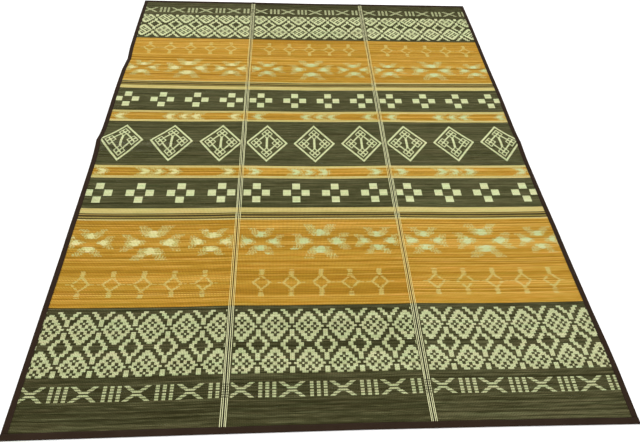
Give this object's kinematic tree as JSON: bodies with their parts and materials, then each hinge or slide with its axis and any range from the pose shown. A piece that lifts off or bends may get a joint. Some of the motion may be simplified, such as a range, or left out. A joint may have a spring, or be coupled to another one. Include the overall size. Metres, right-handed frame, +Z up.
{
  "type": "rush rug",
  "caption": "Flat rectangular woven rush rug in lanes joined by raised seams, with folk bands of lozenges, crosses and stars and a dark cloth binding, lying with its fold marks.",
  "frame": {"origin": "on the floor under the middle of the rug", "axes": "+X across the lanes, +Y along them away from the viewer, +Z up"},
  "size_m": [1.91, 2.5, 0.0194],
  "materials": {
    "rush": "woven dyed rush, satin",
    "binding": "dark brown cotton tape, matt"
  },
  "bodies": {
    "root": {"rush_cloth": "rush", "binding_left": "binding", "binding_right": "binding", "binding_near": "binding", "binding_far": "binding"}
  },
  "joints": []
}
